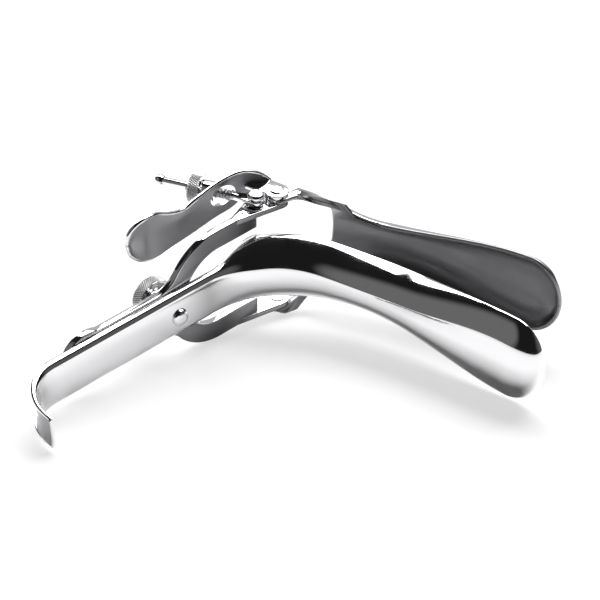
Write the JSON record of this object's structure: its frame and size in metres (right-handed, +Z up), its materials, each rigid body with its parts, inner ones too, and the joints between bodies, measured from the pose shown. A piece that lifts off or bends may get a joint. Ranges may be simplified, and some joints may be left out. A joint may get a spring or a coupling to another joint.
{
  "type": "bivalve speculum",
  "caption": "Bivalve speculum: a hinged upper blade over a handled lower blade, on a sliding forked yoke, opened by a thumb lever and held by knurled nuts.",
  "frame": {"origin": "centre of the bounding box's base, on the table, with the instrument lying on its side", "axes": "+Y up along the handle towards the blades, +X roughly along the lower blade towards its tip, +Z up, the thumb lever's side"},
  "size_m": [0.1436, 0.1774, 0.0611],
  "materials": {
    "steel": "mirror-polished stainless steel"
  },
  "bodies": {
    "handle": {"posterior_blade": "steel", "clamp_screw": "steel", "guide_stud": "steel"},
    "yoke": {"yoke": "steel", "upper_hinge_pin": "steel", "lower_hinge_pin": "steel", "rod_pivot_screw": "steel"},
    "upper": {"anterior_blade": "steel", "thumb_lever": "steel"},
    "rod": {"threaded_rod": "steel", "rod_ball": "steel"},
    "rod_nut": {"rod_nut": "steel"},
    "clamp_nut": {"clamp_nut": "steel"}
  },
  "joints": [
    {"name": "yoke_slide", "type": "slide", "parent": "handle", "child": "yoke", "axis": [0, 0.9899, 0.1414], "range_m": [0, 0.005]},
    {"name": "blade_tilt", "type": "hinge", "parent": "yoke", "child": "upper", "pos_m": [-0.0388, 0.03001, 0.02781], "axis": [0.1251, -0.1403, 0.9822], "range_deg": [-16, 8]},
    {"name": "rod_swing", "type": "hinge", "parent": "yoke", "child": "rod", "pos_m": [-0.04068, 0.02176, 0.02687], "axis": [0.1251, -0.1403, 0.9822], "range_deg": [-22, 11]},
    {"name": "rod_nut_travel", "type": "slide", "parent": "rod", "child": "rod_nut", "axis": [-0.8792, -0.4743, 0.0442], "range_m": [-0.001, 0.002]},
    {"name": "clamp_nut_spin", "type": "hinge", "parent": "handle", "child": "clamp_nut", "pos_m": [-0.04108, -0.01953, 0.02102], "axis": [-0.9921, -0.0177, 0.1238], "continuous": true}
  ],
  "couplings": [
    {"joint": "rod_swing", "follows": "blade_tilt", "ratio": 1.36},
    {"joint": "rod_nut_travel", "follows": "blade_tilt", "m_per_rad": -0.007}
  ]
}
